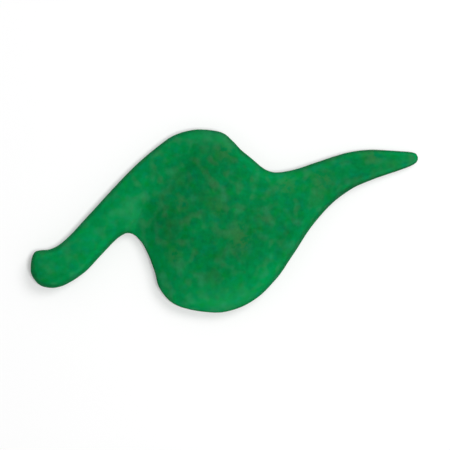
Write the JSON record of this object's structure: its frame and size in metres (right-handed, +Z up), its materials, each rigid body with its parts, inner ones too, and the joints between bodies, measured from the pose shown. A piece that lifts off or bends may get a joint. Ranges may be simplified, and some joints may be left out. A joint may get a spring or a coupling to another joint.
{
  "type": "crayon",
  "caption": "Free-form cast wax crayon: a round-ended arm bends into a palm-filling crowned bulb that tapers to a blunt drawing tip, with a flat underside.",
  "frame": {"origin": "centre of the bounding box, on the flat underside", "axes": "+X along the crayon towards the drawing tip, +Y across it towards the shoulder, +Z up from the flat underside"},
  "size_m": [0.116, 0.0548, 0.0125],
  "materials": {
    "wax": "satin green wax, mottled with small olive and brown flecks"
  },
  "bodies": {
    "root": {"wax_body": "wax"}
  },
  "joints": []
}
